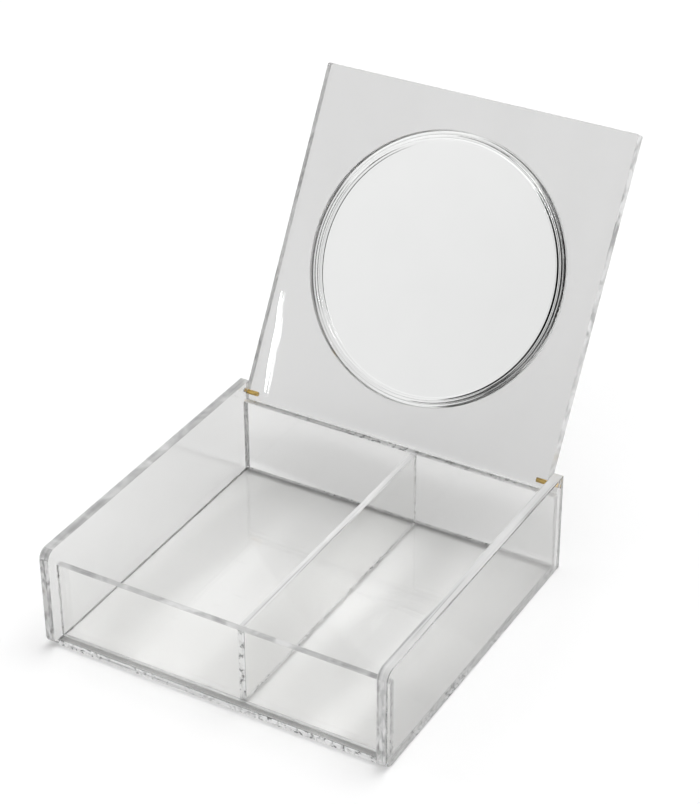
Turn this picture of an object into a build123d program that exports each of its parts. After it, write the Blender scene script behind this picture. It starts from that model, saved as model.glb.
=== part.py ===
"""Hinged clear cosmetic box with two compartments and a mirror in its lid. Millimetres, +Z up.

The origin is on the base's underside, midway between the sides and midway along them. +X is to the right
and +Y to the back, where the lid is hinged. The lid is modelled open, leaning back on its heel.
"""

import os

from build123d import *

# Box
width = 170
depth = 162
height = 50
side_sheet = 4.8
wall_sheet = 3.2
side_corner_radius = 5
edge_break = 0.3
top_drop = 8.8
base_recess = 2.4
front_recess = 5.3
divider_offset = 12

# Lid
lid_sheet = 6
lid_side_gap = 1.2
lid_front_setback = 0.6
lid_corner_radius = 1
open_angle = 120
axis_above_walls = 4.2
axis_behind_back_wall = 0.4
heel_gap = 0.3

# Hinge pins, pressed into the lid and running in the sides
pin_diameter = 2
pin_running_clearance = 0.05
pin_in_side = 3.2
pin_in_lid = 6
pin_end_gap = 0.4
pin_end_break = 0.2

# Mirror
mirror_diameter = 127
mirror_glass = 3
mirror_bevel_width = 4.9
mirror_edge = 1.2
adhesive_diameter = 118
adhesive_thickness = 0.2
pocket_clearance = 0.3
mirror_from_axis = 79

# Places worked out from the sizes above
inner_width = width - 2 * side_sheet
wall_top = height - top_drop
wall_height = wall_top - wall_sheet
front_wall_face = -depth / 2 + front_recess
back_wall_face = depth / 2 - base_recess
hinge_y = back_wall_face + axis_behind_back_wall
hinge_z = wall_top + axis_above_walls
lid_width = inner_width - 2 * lid_side_gap
lid_reach = hinge_y + depth / 2 - lid_front_setback
pocket_depth = mirror_glass + adhesive_thickness
seated = (Align.CENTER, Align.CENTER, Align.MIN)


def lid_direction(degrees):
    """Unit vector along the lid from its hinge, 0 degrees being closed."""
    return Vector(0, -1, 0).rotate(Axis.X, -degrees)


# The lid's plane lies at mid sheet: its Y runs to the free edge and its Z is the inner face's normal.
lid_plane = Plane(
    origin=(0, hinge_y, hinge_z),
    x_dir=(1, 0, 0),
    z_dir=Vector(1, 0, 0).cross(lid_direction(open_angle)),
)
inner_face_plane = lid_plane.offset(lid_sheet / 2)
pocket_floor_plane = inner_face_plane.offset(-pocket_depth)

# The heel's end face meets the back wall's top rear edge when the lid is fully open.
heel_edge = lid_plane.to_local_coords(Vector(0, back_wall_face, wall_top))
heel_length = -heel_edge.Y - heel_gap

os.makedirs("parts", exist_ok=True)


def side_panel(side):
    """A side panel with a blind hole for its hinge pin; side is -1 for left and 1 for right."""
    inner_face = Plane(origin=(side * inner_width / 2, 0, 0), x_dir=(0, side, 0), z_dir=(side, 0, 0))
    with BuildPart() as panel:
        with BuildSketch(inner_face):
            with Locations((0, height / 2)):
                Rectangle(depth, height)
        extrude(amount=side_sheet)
        front_corners = panel.edges().filter_by(Axis.X).group_by(Axis.Y)[0]
        fillet(front_corners, side_corner_radius)
        outline = panel.faces().sort_by(Axis.X)[-1 if side > 0 else 0].edges()
        chamfer(outline, edge_break)
        with BuildSketch(inner_face):
            with Locations((side * hinge_y, hinge_z)):
                Circle(pin_diameter / 2 + pin_running_clearance)
        extrude(amount=pin_in_side + pin_end_gap, mode=Mode.SUBTRACT)
    return panel.part


def hinge_pin(side):
    """A plain pin from inside the side panel's hole, across the gap and into the lid's bore."""
    start = Plane(
        origin=(side * (inner_width / 2 + pin_in_side), hinge_y, hinge_z),
        z_dir=(-side, 0, 0),
    )
    with BuildPart() as pin:
        with BuildSketch(start):
            Circle(pin_diameter / 2)
        extrude(amount=pin_in_side + lid_side_gap + pin_in_lid)
        chamfer(pin.edges().filter_by(GeomType.CIRCLE), pin_end_break)
    return pin.part


def upright_wall(near_y, far_y, left_x, right_x):
    """A wall that stands on the bottom panel, given its extent in plan."""
    with BuildPart() as wall:
        with BuildSketch(Plane.XY.offset(wall_sheet)):
            with Locations(((left_x + right_x) / 2, (near_y + far_y) / 2)):
                Rectangle(right_x - left_x, far_y - near_y)
        extrude(amount=wall_height)
    return wall.part


for side, name in ((-1, "left"), (1, "right")):
    panel = side_panel(side)
    panel.label = "side_panel_" + name
    export_step(panel, "parts/side_panel_" + name + ".step")
    pin = hinge_pin(side)
    pin.label = "hinge_pin_" + name
    export_step(pin, "parts/hinge_pin_" + name + ".step")

# The bottom panel lies between the sides and stands a little forward of the front wall as a ledge.
with BuildPart() as bottom_panel:
    with BuildSketch():
        Rectangle(inner_width, depth - 2 * base_recess)
    extrude(amount=wall_sheet)
bottom_panel.part.label = "bottom_panel"
export_step(bottom_panel.part, "parts/bottom_panel.step")

walls = {
    "front_panel": (front_wall_face, front_wall_face + wall_sheet, -inner_width / 2, inner_width / 2),
    "back_panel": (back_wall_face - wall_sheet, back_wall_face, -inner_width / 2, inner_width / 2),
    "divider": (
        front_wall_face + wall_sheet,
        back_wall_face - wall_sheet,
        divider_offset - wall_sheet / 2,
        divider_offset + wall_sheet / 2,
    ),
}
for name, extent in walls.items():
    wall = upright_wall(*extent)
    wall.label = name
    export_step(wall, "parts/" + name + ".step")

# The lid's rear end is rounded on the inner side so that it turns clear of the back wall, and left
# square on the outer side, where it rests on the back wall when open.
with BuildPart() as lid:
    with BuildSketch(lid_plane):
        with Locations((0, (lid_reach - heel_length) / 2)):
            Rectangle(lid_width, lid_reach + heel_length)
    extrude(amount=lid_sheet / 2, both=True)
    cross_edges = lid.edges().filter_by(Axis.X)
    rear_inner_edge = cross_edges.sort_by_distance(inner_face_plane.from_local_coords((0, -heel_length, 0)))[0]
    fillet(rear_inner_edge, lid_sheet / 2)
    free_corners = lid.edges().filter_by(Axis(lid_plane.origin, lid_plane.z_dir))
    fillet(free_corners.sort_by(Axis.Z)[-2:], lid_corner_radius)
    with BuildSketch(pocket_floor_plane):
        with Locations((0, mirror_from_axis)):
            Circle(mirror_diameter / 2 + pocket_clearance)
    extrude(amount=pocket_depth, mode=Mode.SUBTRACT)
    for side in (-1, 1):
        lid_end = Plane(origin=(side * lid_width / 2, hinge_y, hinge_z), z_dir=(-side, 0, 0))
        with BuildSketch(lid_end):
            Circle(pin_diameter / 2)
        extrude(amount=pin_in_lid, mode=Mode.SUBTRACT)
lid.part.label = "lid"
export_step(lid.part, "parts/lid.step")

with BuildPart() as mirror_adhesive:
    with BuildSketch(pocket_floor_plane):
        with Locations((0, mirror_from_axis)):
            Circle(adhesive_diameter / 2)
    extrude(amount=adhesive_thickness)
mirror_adhesive.part.label = "mirror_adhesive"
export_step(mirror_adhesive.part, "parts/mirror_adhesive.step")

# The mirror's face is flush with the lid's inner face and its bevel falls to a thin rim.
with BuildPart() as mirror:
    with Locations(pocket_floor_plane.offset(adhesive_thickness)):
        with Locations((0, mirror_from_axis)):
            Cylinder(mirror_diameter / 2, mirror_edge, align=seated)
            with Locations((0, 0, mirror_edge)):
                Cone(
                    bottom_radius=mirror_diameter / 2,
                    top_radius=mirror_diameter / 2 - mirror_bevel_width,
                    height=mirror_glass - mirror_edge,
                    align=seated,
                )
mirror.part.label = "mirror"
export_step(mirror.part, "parts/mirror.step")
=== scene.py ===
import math

import bmesh
import bpy
from mathutils import Euler, Matrix, Vector


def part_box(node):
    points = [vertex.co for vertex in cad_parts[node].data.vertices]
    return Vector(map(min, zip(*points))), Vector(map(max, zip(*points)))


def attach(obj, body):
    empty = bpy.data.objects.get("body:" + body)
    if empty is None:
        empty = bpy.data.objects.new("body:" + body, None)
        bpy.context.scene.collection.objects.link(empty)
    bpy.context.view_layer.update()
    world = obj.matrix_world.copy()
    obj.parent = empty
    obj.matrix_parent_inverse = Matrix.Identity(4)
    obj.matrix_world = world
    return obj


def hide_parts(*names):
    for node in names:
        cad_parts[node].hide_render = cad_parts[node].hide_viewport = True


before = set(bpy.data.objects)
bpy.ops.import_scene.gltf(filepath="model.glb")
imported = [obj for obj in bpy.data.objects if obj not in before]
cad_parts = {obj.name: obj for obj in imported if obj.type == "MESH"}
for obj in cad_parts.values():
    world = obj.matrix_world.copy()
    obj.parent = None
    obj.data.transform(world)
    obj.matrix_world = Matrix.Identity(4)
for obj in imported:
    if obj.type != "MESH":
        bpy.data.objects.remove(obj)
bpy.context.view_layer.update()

print("frame loaded:", len(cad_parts), "nodes")


class Value:
    # a socket that does arithmetic: every expression on it adds Math nodes
    def __init__(self, tree, socket):
        self.tree = tree
        self.socket = socket

    def math(self, operation, *others):
        return self.tree.node("Math", {"operation": operation}, (self, *others))

    def __add__(self, other):
        return self.math("ADD", other)

    def __radd__(self, other):
        return self.math("ADD", other)

    def __sub__(self, other):
        return self.math("SUBTRACT", other)

    def __rsub__(self, other):
        return self.tree.node("Math", {"operation": "SUBTRACT"}, (other, self))

    def __mul__(self, other):
        return self.math("MULTIPLY", other)

    def __rmul__(self, other):
        return self.math("MULTIPLY", other)

    def __lt__(self, other):
        return self.math("LESS_THAN", other)

    def __gt__(self, other):
        return self.math("GREATER_THAN", other)


class Tree:
    # one node tree; node() adds a node and returns the output that is asked for
    def __init__(self, nodeTree):
        self.nodeTree = nodeTree

    def node(self, kind, settings=None, sockets=(), output=0):
        made = self.nodeTree.nodes.new("ShaderNode" + kind)
        for name, value in (settings or {}).items():
            if name == "stops":
                self.setStops(made.color_ramp, value)
            else:
                setattr(made, name, value)
        pairs = sockets.items() if isinstance(sockets, dict) else enumerate(sockets)
        for key, value in pairs:
            if isinstance(value, Value):
                self.nodeTree.links.new(value.socket, made.inputs[key])
            else:
                made.inputs[key].default_value = value
        return Value(self, made.outputs[output])

    def setStops(self, ramp, stops):
        while len(ramp.elements) < len(stops):
            ramp.elements.new(0.5)
        for element, (position, shade) in zip(ramp.elements, stops):
            element.position = position
            element.color = grey(shade)

    def axes(self, vector):
        return [self.node("SeparateXYZ", None, (vector,), output=i) for i in range(3)]

    def smooth(self, value, low, high):
        return self.node("MapRange", {"interpolation_type": "SMOOTHSTEP"}, (value, low, high, 0.0, 1.0))

    def mixColor(self, factor, first, second):
        return self.node("Mix", {"data_type": "RGBA"}, {0: factor, 6: first, 7: second}, output=2)

    def mixShader(self, factor, first, second):
        return self.node("MixShader", None, (factor, first, second))


def newMaterial(name):
    material = bpy.data.materials.new(name)
    material.use_nodes = True
    material.node_tree.nodes.clear()
    return material, Tree(material.node_tree)


def finishMaterial(tree, shader):
    output = tree.nodeTree.nodes.new("ShaderNodeOutputMaterial")
    tree.nodeTree.links.new(shader.socket, output.inputs["Surface"])


def grey(shade):
    return (shade, shade, shade, 1)


# acrylic sheets: how clear faces, edges, saw cuts and cemented joints look, lengths in metres
acrylic = {
    "ior": 1.49,
    "waviness": 0.02,
    "cloudScale": 30.0,
    "bandEdge": (0.35, 0.65),
    "jointAir": 0.00002,      # each sheet is drawn in by this, so that joined faces don't coincide
    "edgeRadius": 0.00025,
    "polished": {"bump": 0.1, "patchy": 0.0, "stops": [(0.36, 0.45), (0.46, 0.85), (0.6, 1.0)]},
    "grainAcross": 800,
    "grainAlong": 12,
    "satin": {"scale": (90, 90, 90), "bump": 0.15, "cover": 0.5, "patchy": 0.0,
              "stops": [(0.35, 0.3), (0.5, 0.45), (0.65, 0.7)]},
    "dull": {"scale": (90, 90, 90), "bump": 0.2, "cover": 0.75, "patchy": 0.0,
             "stops": [(0.35, 0.24), (0.5, 0.38), (0.65, 0.62)]},
    "sawn": {"scale": (500, 160, 160), "bump": 0.5, "cover": 0.5, "patchy": 0.5,
             "stops": [(0.38, 0.08), (0.45, 0.4), (0.53, 0.62), (0.6, 0.9)]},
    "cement": {"scale": (420, 420, 420), "bump": 0.5, "cover": 0.75, "patchy": 0.65,
               "stops": [(0.37, 0.02), (0.42, 0.6), (0.5, 0.9), (0.58, 1.0)]},
    "hairlines": 0.05,        # roughness along the faintest scratches
    "hairScale": (50, 1500, 1500),
    "hairTurn": (0.3, 0.5, 1.3),
    "hairEdge": (0.74, 0.79),
    "scratchGreys": (0.95, 0.85),
    "scratchRoughness": 0.4,
    "brokenRoughness": 0.3,
    "patchScale": 35.0,
    "patchEdge": (0.45, 0.6),
    "faceDepth": 0.00012,     # how near its place a flat face has to be to take its finish
    "weld": 0.000002,
}


def faceMask(tree, xyz, faces):
    # 1 on the flat faces given as (axis, place in metres), 0 elsewhere
    mask = None
    for axis, position in faces:
        near = (xyz[axis] - position).math("ABSOLUTE") < acrylic["faceDepth"]
        mask = near if mask is None else mask.math("MAXIMUM", near)
    return mask


def acrylicMaterial(name, tintAndShade, thin, finish, haze=0.5, scuffs=0.05, toneAndShadowBands=0.015, bandScale=(40, 7, 7)):
    # thin is the direction across the sheet; haze is how flamed its narrow faces are
    material, tree = newMaterial(name)
    place = tree.node("TexCoord", None, (), output="Object")
    xyz = tree.axes(place)
    cloud = tree.node("TexNoise", None, {"Vector": place, "Scale": acrylic["cloudScale"], "Detail": 2.0})
    bump = tree.node("Bump", None, {"Height": cloud, "Strength": acrylic["waviness"], "Distance": 0.001})
    turned = tree.node("Mapping", None, {
        "Vector": place, "Rotation": acrylic["hairTurn"], "Scale": acrylic["hairScale"]})
    lint = tree.node("TexNoise", None, {"Vector": turned, "Scale": 1.0, "Detail": 1.0})
    hairs = tree.smooth(lint, *acrylic["hairEdge"])
    # soft darker bands in the sheet's colour: a faint random tone on most sheets, and painted shadow bands on
    # the back and bottom panels, where they are deep
    lengthways = tree.node("Mapping", None, {"Vector": place, "Scale": bandScale})
    toneAndShadowNoise = tree.node("TexNoise", None, {"Vector": lengthways, "Scale": 1.0, "Detail": 0.0})
    toneAndShadowMask = tree.smooth(toneAndShadowNoise, *acrylic["bandEdge"])
    baseColor = tree.mixColor(toneAndShadowMask, (*tintAndShade, 1), (*[c * (1 - toneAndShadowBands) for c in tintAndShade], 1))
    shader = tree.node("BsdfPrincipled", None, {
        "Base Color": baseColor, "Roughness": hairs * acrylic["hairlines"], "IOR": acrylic["ior"],
        "Transmission Weight": 1.0, "Normal": bump,
    })
    scratch = tree.node("BsdfPrincipled", None, {
        "Base Color": tree.mixColor(cloud, *map(grey, acrylic["scratchGreys"])),
        "Roughness": acrylic["scratchRoughness"]})
    shader = tree.mixShader(hairs * scuffs, shader, scratch)
    facing = tree.node("TexCoord", None, (), output="Normal")
    slant = tree.node("VectorMath", {"operation": "DOT_PRODUCT"}, (facing, thin), output=1)
    narrow = slant.math("ABSOLUTE") < 0.5
    grain = [acrylic["grainAcross"] if abs(part) > 0.9 else acrylic["grainAlong"] for part in thin]
    shader = brokenFace(tree, place, shader, narrow * haze, {**acrylic["polished"], "scale": grain})
    for look, faces in finish.items():
        cover = narrow * faceMask(tree, xyz, faces) * acrylic[look]["cover"]
        shader = brokenFace(tree, place, shader, cover, acrylic[look])
    finishMaterial(tree, shader)
    return material


def brokenFace(tree, place, clear, cover, look):
    # the haze of a flamed edge, saw marks, or the bubbles and dry spots in a cemented joint
    stretched = tree.node("Mapping", None, {"Vector": place, "Scale": look["scale"]})
    blotches = tree.node("TexNoise", None, {
        "Vector": stretched, "Scale": 1.0, "Detail": 2.0, "Distortion": 0.6})
    shade = tree.node("ValToRGB", {"stops": look["stops"]}, (blotches,))
    bump = tree.node("Bump", None, {"Height": blotches, "Strength": look["bump"], "Distance": 0.0008})
    broken = tree.node("BsdfPrincipled", None, {
        "Base Color": shade, "Roughness": acrylic["brokenRoughness"], "Normal": bump})
    patch = tree.node("TexNoise", None, {"Vector": place, "Scale": acrylic["patchScale"], "Detail": 0.0})
    patches = tree.smooth(patch, *acrylic["patchEdge"])
    return tree.mixShader(cover * (1.0 - look["patchy"] + patches * look["patchy"]), clear, broken)


def finishSheet(sheet):
    # welds the loose triangles, breaks the edges and keeps a hair of air in the joints
    weld = sheet.modifiers.new("weld", "WELD")
    weld.merge_threshold = acrylic["weld"]
    bevel = sheet.modifiers.new("polishedEdges", "BEVEL")
    bevel.width = acrylic["edgeRadius"]
    bevel.segments = 2
    bevel.limit_method = "ANGLE"
    bevel.angle_limit = math.radians(40)
    air = sheet.modifiers.new("jointAir", "DISPLACE")
    air.mid_level = 0
    air.strength = -acrylic["jointAir"]
    flat = sheet.modifiers.new("flatFaces", "WEIGHTED_NORMAL")
    flat.weight = 80


def giveMaterial(node, material):
    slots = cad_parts[node].data.materials
    slots.clear()
    slots.append(material)


def ends(node, axis, pick=slice(None)):
    low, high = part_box(node)
    return [(axis, low[axis]), (axis, high[axis])][pick]


first, last = slice(0, 1), slice(1, 2)
lidTilt = math.radians(60)    # the open lid's lean from lying flat
# each sheet's tint is mostly painted shade: the near-clear acrylic is darkened sheet by sheet, most on the
# lid and the side panels, to stand in for the dimmer light seen through each sheet
sheets = {
    "side_panel_left": {
        "tintAndShade": (0.77, 0.77, 0.765), "thin": (1, 0, 0), "haze": 0.3,
        "finish": {"sawn": ends("side_panel_left", 1, first), "satin": ends("side_panel_left", 2, last),
                   "cement": ends("side_panel_left", 1, last) + ends("side_panel_left", 2, first)}},
    "side_panel_right": {
        "tintAndShade": (0.77, 0.77, 0.765), "thin": (1, 0, 0), "haze": 0.5,
        "finish": {"sawn": ends("side_panel_right", 1, first),
                   "cement": ends("side_panel_right", 1, last) + ends("side_panel_right", 2, first)}},
    "front_panel": {
        "tintAndShade": (0.985, 0.985, 0.98), "thin": (0, 1, 0), "haze": 0.4,
        "finish": {"dull": ends("front_panel", 2, last), "cement": ends("front_panel", 0)}},
    # the back and bottom panels' deep bands are painted shadow bands
    "back_panel": {
        "tintAndShade": (0.85, 0.85, 0.845), "thin": (0, 1, 0), "haze": 0.7, "toneAndShadowBands": 0.14, "bandScale": (9, 20, 60),
        "finish": {"cement": ends("back_panel", 0) + ends("back_panel", 2)}},
    "bottom_panel": {
        "tintAndShade": (0.905, 0.905, 0.90), "thin": (0, 0, 1), "haze": 0.85, "scuffs": 0.1, "toneAndShadowBands": 0.08,
        "finish": {"cement": ends("bottom_panel", 0) + ends("bottom_panel", 1, first)}},
    "divider": {
        "tintAndShade": (0.94, 0.94, 0.935), "thin": (1, 0, 0), "scuffs": 0.1,
        "finish": {"cement": ends("divider", 1) + ends("divider", 2, first)}},
    "lid": {
        "tintAndShade": (0.675, 0.675, 0.673), "thin": (0, -math.sin(lidTilt), math.cos(lidTilt)),
        "finish": {"sawn": ends("lid", 0)}},
}
for node, look in sheets.items():
    giveMaterial(node, acrylicMaterial(node + "Acrylic", **look))
    finishSheet(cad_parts[node])
print("acrylic sheets done")

# mirror: a disc with a ridged bevel, laid in the lid's pocket on its tape, lengths in metres
mirror = {
    "radius": (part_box("mirror")[1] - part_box("mirror")[0]).x / 2,
    "tapeThickness": 0.0002,
    "thickness": 0.003,
    "rim": 0.0012,            # height of the ground rim outside the bevel
    "bevelWidth": 0.0049,
    "ridges": 3,
    "ridgeHeight": 0.00028,
    "stepsAround": 180,
    "stepsAcross": 24,
    "flatMargin": 0.0003,
    "bevelCurve": 1.3,
    "skin": 0.0001,           # depth of the silver and of the ground rim's finish
    "waviness": 0.01,
    "glassTint": ((0.985, 0.99, 0.985, 1), (0.975, 0.98, 0.975, 1)),
    "glassIor": 1.52,
    "silver": ((0.95, 0.95, 0.95, 1), (0.93, 0.93, 0.93, 1)),
    "groundRim": ((0.03, 0.03, 0.02, 1), (0.09, 0.09, 0.06, 1)),
}
mirrorTurn = Matrix.Rotation(lidTilt, 4, "X")
tapeLow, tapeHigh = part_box("mirror_adhesive")
aboveTape = mirrorTurn @ Vector((0, 0, (mirror["tapeThickness"] + mirror["thickness"]) / 2))
mirrorMiddle = (tapeLow + tapeHigh) / 2 + aboveTape
mirrorPlace = Matrix.Translation(mirrorMiddle) @ mirrorTurn


def mirrorDisc():
    # the half profile, spun about the glass's own axis, then laid in the lid's pocket
    inner = mirror["radius"] - mirror["bevelWidth"]
    top = mirror["thickness"] / 2
    fall = mirror["thickness"] - mirror["rim"]
    profile = [(0, top), (inner - mirror["flatMargin"], top)]   # the added ring keeps the flat's shading flat
    for step in range(mirror["stepsAcross"] + 1):
        share = step / mirror["stepsAcross"]
        ripple = mirror["ridgeHeight"] * (1 - math.cos(2 * math.pi * mirror["ridges"] * share)) / 2
        slope = fall * share ** mirror["bevelCurve"]
        profile.append((inner + mirror["bevelWidth"] * share, top - slope + ripple))
    profile += [(mirror["radius"], -top), (0, -top)]
    shape = bmesh.new()
    verts = [shape.verts.new((r, 0, z)) for r, z in profile]
    edges = [shape.edges.new(pair) for pair in zip(verts, verts[1:])]
    bmesh.ops.spin(shape, geom=verts + edges, cent=(0, 0, 0), axis=(0, 0, 1), angle=2 * math.pi,
                   steps=mirror["stepsAround"], use_merge=True, use_duplicate=False)
    bmesh.ops.remove_doubles(shape, verts=shape.verts, dist=0.000001)
    bmesh.ops.recalc_face_normals(shape, faces=shape.faces)
    bmesh.ops.transform(shape, matrix=mirrorPlace, verts=shape.verts)
    mesh = bpy.data.meshes.new("bevelled_mirror")
    shape.to_mesh(mesh)
    shape.free()
    mesh.shade_smooth()
    mesh.set_sharp_from_angle(angle=math.radians(50))
    disc = bpy.data.objects.new("bevelled_mirror", mesh)
    bpy.context.scene.collection.objects.link(disc)
    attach(disc, "lid")
    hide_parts("mirror")
    return disc


def mirrorMaterial():
    material, tree = newMaterial("bevelledMirror")
    place = tree.node("TexCoord", None, (), output="Object")
    turned = tree.node("Mapping", {"vector_type": "TEXTURE"}, {
        "Vector": place, "Location": mirrorMiddle, "Rotation": (lidTilt, 0, 0)})
    x, y, z = tree.axes(turned)
    backing = z < mirror["skin"] / 2 - mirror["thickness"] / 2
    cloud = tree.node("TexNoise", None, {"Vector": turned, "Scale": 40.0, "Detail": 2.0})
    bump = tree.node("Bump", None, {"Height": cloud, "Strength": mirror["waviness"], "Distance": 0.001})
    glass = tree.node("BsdfPrincipled", None, {
        "Base Color": tree.mixColor(cloud, *mirror["glassTint"]), "Roughness": 0.0,
        "IOR": mirror["glassIor"], "Transmission Weight": 1.0, "Normal": bump})
    silver = tree.node("BsdfPrincipled", None, {
        "Base Color": tree.mixColor(cloud, *mirror["silver"]), "Roughness": 0.0, "Metallic": 1.0})
    outward = (x * x + y * y).math("SQRT")
    rim = tree.node("BsdfPrincipled", None, {
        "Base Color": tree.mixColor(cloud, *mirror["groundRim"]), "Roughness": 0.4})
    body = tree.mixShader(outward > mirror["radius"] - mirror["skin"], glass, rim)
    finishMaterial(tree, tree.mixShader(backing, body, silver))
    return material


disc = mirrorDisc()
disc.data.materials.append(mirrorMaterial())
discAir = disc.modifiers.new("jointAir", "DISPLACE")
discAir.mid_level = 0
discAir.strength = -acrylic["jointAir"]


# the tape under the mirror and the hinge pins
tape = {"greys": (0.62, 0.7), "grain": 120.0, "roughness": 0.5}
pin = {
    "light": (0.95, 0.66, 0.18, 1),
    "dark": (0.7, 0.45, 0.1, 1),
    "drawLines": (80, 2500, 2500),
    "roughness": (0.18, 0.2),     # at its least, and what the drawn lines add
}


def adhesiveMaterial():
    material, tree = newMaterial("adhesiveTape")
    place = tree.node("TexCoord", None, (), output="Object")
    cloud = tree.node("TexNoise", None, {"Vector": place, "Scale": tape["grain"], "Detail": 4.0})
    finishMaterial(tree, tree.node("BsdfPrincipled", None, {
        "Base Color": tree.mixColor(cloud, *map(grey, tape["greys"])), "Roughness": tape["roughness"]}))
    return material


giveMaterial("mirror_adhesive", adhesiveMaterial())


def brassMaterial():
    material, tree = newMaterial("drawnBrass")
    place = tree.node("TexCoord", None, (), output="Object")
    streaks = tree.node("Mapping", None, {"Vector": place, "Scale": pin["drawLines"]})
    lines = tree.node("TexNoise", None, {"Vector": streaks, "Scale": 1.0, "Detail": 3.0})
    finishMaterial(tree, tree.node("BsdfPrincipled", None, {
        "Base Color": tree.mixColor(lines, pin["light"], pin["dark"]),
        "Metallic": 1.0, "Roughness": pin["roughness"][0] + lines * pin["roughness"][1]}))
    return material


brass = brassMaterial()
for node in ("hinge_pin_left", "hinge_pin_right"):
    giveMaterial(node, brass)
    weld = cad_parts[node].modifiers.new("weld", "WELD")
    weld.merge_threshold = acrylic["weld"]
    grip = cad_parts[node].modifiers.new("pressFit", "DISPLACE")
    grip.mid_level = 0            # closes the hair of air in the lid's bore
    grip.strength = 2 * acrylic["jointAir"]
print("mirror, tape and pins done")

# floor, light and camera: a card in the tent is a direction, where its edge and middle start, and its level
studio = {
    "floorSize": 8.0,
    "floorDrop": 0.0002,
    "floorGreys": (0.94, 0.92),
    "lens": 105.38,
    "heading": 29.96,
    "pitch": 32.14,
    "roll": -0.254,
    "distance": 1.0286,
    "target": (0.0021, 0.0343, 0.0888),
    "sky": 0.78,
    "horizon": 0.35,
    "horizonEdge": (0.05, 0.5),
    "zenith": 0.3,
    "zenithEdge": (0.75, 0.95),
    "cards": [
        ((-0.55, -0.62, 0.56), 0.93, 0.99, 0.925),
        ((0.56, -0.72, 0.42), 0.86, 0.92, 0.15),
        ((-0.84, -0.42, 0.34), 0.875, 0.90, 0.0),
        ((-0.95, -0.15, 0.28), 0.94, 0.965, 2.6),
    ],
    "sun": {"energy": 1.0, "angle": math.radians(40)},
    "sunPlace": (0.3, 0.7, 1.84),
    "strip": {"shape": "ELLIPSE", "size": 0.005, "size_y": 0.115, "energy": 0.035},
    "stripPlace": (-0.757, -1.119, 0.633),
    "stripAim": (-0.071, 0.089, 0.068),
    "stripAlong": (-0.08, 0.48, 0.87),
    "bounces": {"max_bounces": 64, "glossy_bounces": 48, "transmission_bounces": 48, "blur_glossy": 0.0,
                "caustics_reflective": True, "caustics_refractive": True},
}


def makeFloor():
    mesh = bpy.data.meshes.new("floor")
    shape = bmesh.new()
    bmesh.ops.create_grid(shape, x_segments=1, y_segments=1, size=studio["floorSize"] / 2)
    bmesh.ops.translate(shape, verts=shape.verts, vec=(0, 0, -studio["floorDrop"]))
    shape.to_mesh(mesh)
    shape.free()
    floor = bpy.data.objects.new("floor", mesh)
    bpy.context.scene.collection.objects.link(floor)
    material, tree = newMaterial("whiteSweep")
    place = tree.node("TexCoord", None, (), output="Object")
    cloud = tree.node("TexNoise", None, {"Vector": place, "Scale": 3.0, "Detail": 3.0})
    finishMaterial(tree, tree.node("BsdfPrincipled", None, {
        "Base Color": tree.mixColor(cloud, *map(grey, studio["floorGreys"])),
        "Roughness": 0.7, "Specular IOR Level": 0.1}))
    mesh.materials.append(material)


def makeWorld():
    world = bpy.data.worlds.new("lightTent")
    bpy.context.scene.world = world
    world.use_nodes = True
    world.node_tree.nodes.clear()
    tree = Tree(world.node_tree)
    direction = tree.node("TexCoord", None, (), output="Generated")
    z = tree.axes(direction)[2]
    level = studio["sky"] + (1.0 - tree.smooth(z, *studio["horizonEdge"])) * studio["horizon"]
    level = level + tree.smooth(z, *studio["zenithEdge"]) * studio["zenith"]
    for toward, edge, middle, strength in studio["cards"]:
        facing = tree.node("VectorMath", {"operation": "DOT_PRODUCT"}, (direction, toward), output=1)
        level = level + tree.smooth(facing, edge, middle) * (strength - level)
    shade = tree.node("CombineXYZ", None, (level, level, level))
    background = tree.node("Background", None, {"Color": shade, "Strength": 1.0})
    output = world.node_tree.nodes.new("ShaderNodeOutputWorld")
    world.node_tree.links.new(background.socket, output.inputs["Surface"])


def makeLight(name, kind, settings, place, aim, along=(0, 0, 1)):
    light = bpy.data.lights.new(name, kind)
    for key, value in settings.items():
        setattr(light, key, value)
    lamp = bpy.data.objects.new(name, light)
    backward = (Vector(place) - Vector(aim)).normalized()
    sideways = Vector(along).cross(backward).normalized()
    turn = Matrix((sideways, backward.cross(sideways), backward)).transposed()
    lamp.matrix_world = Matrix.Translation(place) @ turn.to_4x4()
    bpy.context.scene.collection.objects.link(lamp)


def makeCamera():
    lens = bpy.data.cameras.new("camera")
    lens.lens = studio["lens"]
    lens.clip_start = 0.01
    lens.clip_end = 50
    camera = bpy.data.objects.new("camera", lens)
    turn = Euler((math.radians(90 - studio["pitch"]), 0, math.radians(studio["heading"]))).to_matrix()
    turn = turn @ Matrix.Rotation(math.radians(studio["roll"]), 3, "Z")
    place = Vector(studio["target"]) + turn @ Vector((0, 0, studio["distance"]))
    camera.matrix_world = Matrix.Translation(place) @ turn.to_4x4()
    bpy.context.scene.collection.objects.link(camera)
    bpy.context.scene.camera = camera


makeFloor()
makeWorld()
makeLight("keySun", "SUN", studio["sun"], studio["sunPlace"], (0, 0, 0))
makeLight("stripLight", "AREA", studio["strip"], studio["stripPlace"], studio["stripAim"],
          along=studio["stripAlong"])
makeCamera()
bpy.context.scene.view_settings.view_transform = "Standard"
for name, value in studio["bounces"].items():
    setattr(bpy.context.scene.cycles, name, value)
print("floor, light and camera done")
